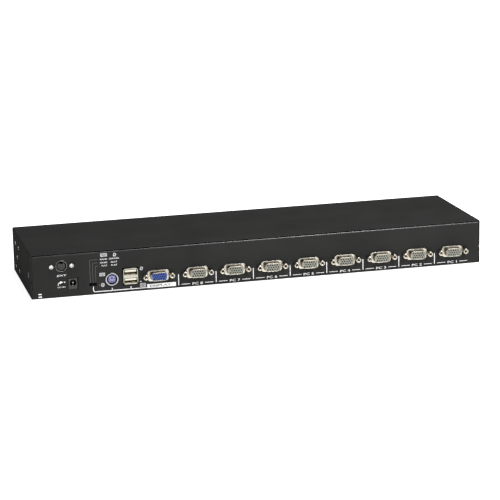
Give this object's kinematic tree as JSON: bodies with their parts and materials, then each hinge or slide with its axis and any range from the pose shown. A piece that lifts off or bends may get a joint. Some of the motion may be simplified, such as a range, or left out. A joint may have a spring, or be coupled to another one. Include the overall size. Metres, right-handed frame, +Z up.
{
  "type": "kvm switch",
  "caption": "Rack-height sheet-metal box that switches one screen, keyboard and mouse between computers; sockets along the rear, push buttons along the front.",
  "frame": {"origin": "centre of the case's underside, half way between the front and rear walls and between the side walls", "axes": "+Z up; the front wall with the buttons faces -Y and the wall with the sockets faces +Y; +X is to the right as seen from the front"},
  "size_m": [0.438, 0.1283, 0.0425],
  "materials": {
    "coated_steel": "matte black powder coat, fine texture",
    "black_screw": "black zinc",
    "nickel": "dull nickel plate",
    "zinc": "bright zinc plate",
    "grey_plastic": "moulded, satin",
    "blue_plastic": "moulded, satin",
    "lilac_plastic": "moulded, satin",
    "black_plastic": "moulded, satin",
    "white_plastic": "moulded, satin",
    "label_film": "printed polyester film",
    "clear_plastic": "clear acrylic moulding",
    "board": "green solder resist",
    "cable": "flat cable"
  },
  "bodies": {
    "case": {"base_tray": "coated_steel", "top_cover": "coated_steel", "cover_screw_top_left": "black_screw", "cover_screw_top_right": "black_screw", "cover_screw_side_left": "black_screw", "cover_screw_side_right": "black_screw", "console_shell": "nickel", "usb_shell": "nickel", "keyboard_socket_shield": "nickel", "aux_socket_shield": "nickel", "port_1_shell": "nickel", "port_2_shell": "nickel", "port_3_shell": "nickel", "port_4_shell": "nickel", "port_5_shell": "nickel", "port_6_shell": "nickel", "port_7_shell": "nickel", "port_8_shell": "nickel", "aux_screw_left": "zinc", "aux_screw_right": "zinc", "dc_inlet_pin": "zinc", "board_standoff_front_left": "zinc", "board_standoff_front_right": "zinc", "board_standoff_rear_left": "zinc", "board_standoff_rear_right": "zinc", "port_1_insulator": "grey_plastic", "port_2_insulator": "grey_plastic", "port_3_insulator": "grey_plastic", "port_4_insulator": "grey_plastic", "port_5_insulator": "grey_plastic", "port_6_insulator": "grey_plastic", "port_7_insulator": "grey_plastic", "port_8_insulator": "grey_plastic", "console_insulator": "blue_plastic", "keyboard_socket_insulator": "lilac_plastic", "aux_socket_insulator": "black_plastic", "dc_inlet_body": "black_plastic", "mode_switch_frame": "black_plastic", "microcontroller": "black_plastic", "video_switch_chip": "black_plastic", "voltage_regulator": "black_plastic", "filter_capacitor": "black_plastic", "power_inductor": "black_plastic", "buzzer": "black_plastic", "usb_insulator": "white_plastic", "front_label": "label_film", "light_pipe": "clear_plastic", "main_board": "board", "front_board": "board", "board_link_cable": "cable", "aux_cable": "cable"},
    "button_1": {"port_button_1": "grey_plastic"},
    "button_2": {"port_button_2": "grey_plastic"},
    "button_3": {"port_button_3": "grey_plastic"},
    "button_4": {"port_button_4": "grey_plastic"},
    "button_5": {"port_button_5": "grey_plastic"},
    "button_6": {"port_button_6": "grey_plastic"},
    "button_7": {"port_button_7": "grey_plastic"},
    "button_8": {"port_button_8": "grey_plastic"},
    "mode_slider": {"mode_switch_slider": "black_plastic"}
  },
  "joints": [
    {"name": "port_button_1_press", "type": "slide", "parent": "case", "child": "button_1", "axis": [0, 1, 0], "range_m": [0, 0.001], "stiffness_N_per_m": 1500},
    {"name": "port_button_2_press", "type": "slide", "parent": "case", "child": "button_2", "axis": [0, 1, 0], "range_m": [0, 0.001], "stiffness_N_per_m": 1500},
    {"name": "port_button_3_press", "type": "slide", "parent": "case", "child": "button_3", "axis": [0, 1, 0], "range_m": [0, 0.001], "stiffness_N_per_m": 1500},
    {"name": "port_button_4_press", "type": "slide", "parent": "case", "child": "button_4", "axis": [0, 1, 0], "range_m": [0, 0.001], "stiffness_N_per_m": 1500},
    {"name": "port_button_5_press", "type": "slide", "parent": "case", "child": "button_5", "axis": [0, 1, 0], "range_m": [0, 0.001], "stiffness_N_per_m": 1500},
    {"name": "port_button_6_press", "type": "slide", "parent": "case", "child": "button_6", "axis": [0, 1, 0], "range_m": [0, 0.001], "stiffness_N_per_m": 1500},
    {"name": "port_button_7_press", "type": "slide", "parent": "case", "child": "button_7", "axis": [0, 1, 0], "range_m": [0, 0.001], "stiffness_N_per_m": 1500},
    {"name": "port_button_8_press", "type": "slide", "parent": "case", "child": "button_8", "axis": [0, 1, 0], "range_m": [0, 0.001], "stiffness_N_per_m": 1500},
    {"name": "mode_switch_slide", "type": "slide", "parent": "case", "child": "mode_slider", "axis": [1, 0, 0], "range_m": [-0.0025, 0.0025]}
  ]
}
